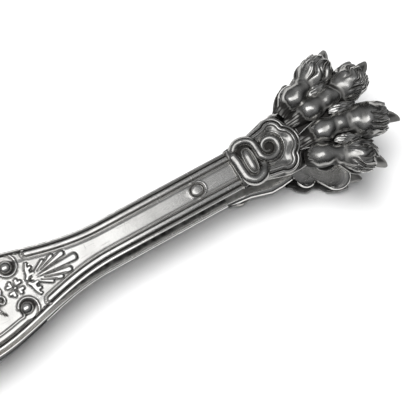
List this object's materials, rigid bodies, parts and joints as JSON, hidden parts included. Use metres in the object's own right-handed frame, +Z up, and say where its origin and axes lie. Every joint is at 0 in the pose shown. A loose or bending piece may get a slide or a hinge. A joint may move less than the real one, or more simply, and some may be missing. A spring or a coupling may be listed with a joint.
{
  "type": "sugar tongs",
  "caption": "Sprung bow sugar tongs with moulded, scroll-ornamented arms, knotted cuffs and opposed lion's-paw grips; the arms spring open and are squeezed to pinch a sugar lump.",
  "frame": {"origin": "bottom centre of the bounding box, under the tongs as they lie flat on the lower arm", "axes": "+X from the bow to the paws, +Z up from the lower arm to the upper arm, +Y across the arms"},
  "size_m": [0.15, 0.0254, 0.032],
  "materials": {
    "bright_silver": "polished sterling silver with dark oxide in the recesses of the struck ornament",
    "cast_silver": "cast and chased silver, oxidised in the recesses and polished on the highs",
    "talon_silver": "darkly oxidised cast silver"
  },
  "bodies": {
    "bow": {"bow_spring": "bright_silver"},
    "upper_half": {"upper_arm": "bright_silver", "upper_claw_1": "talon_silver", "upper_claw_2": "talon_silver", "upper_claw_3": "talon_silver", "upper_claw_4": "talon_silver", "upper_cuff": "cast_silver", "upper_knot": "cast_silver", "upper_palm": "cast_silver", "upper_toe_1": "cast_silver", "upper_toe_2": "cast_silver", "upper_toe_3": "cast_silver", "upper_toe_4": "cast_silver"},
    "lower_half": {"lower_arm": "bright_silver", "lower_claw_1": "talon_silver", "lower_claw_2": "talon_silver", "lower_claw_3": "talon_silver", "lower_claw_4": "talon_silver", "lower_cuff": "cast_silver", "lower_knot": "cast_silver", "lower_palm": "cast_silver", "lower_toe_1": "cast_silver", "lower_toe_2": "cast_silver", "lower_toe_3": "cast_silver", "lower_toe_4": "cast_silver"}
  },
  "joints": [
    {"name": "upper_squeeze", "type": "hinge", "parent": "bow", "child": "upper_half", "pos_m": [-0.059, 0, 0.0312], "axis": [0, 1, 0], "range_deg": [0, 3.7], "stiffness_Nm_per_rad": 4.5},
    {"name": "lower_squeeze", "type": "hinge", "parent": "bow", "child": "lower_half", "pos_m": [-0.059, 0, 0.0008], "axis": [0, -1, 0], "range_deg": [0, 3.7], "stiffness_Nm_per_rad": 4.5}
  ],
  "couplings": [
    {"joint": "lower_squeeze", "follows": "upper_squeeze", "ratio": 1}
  ]
}
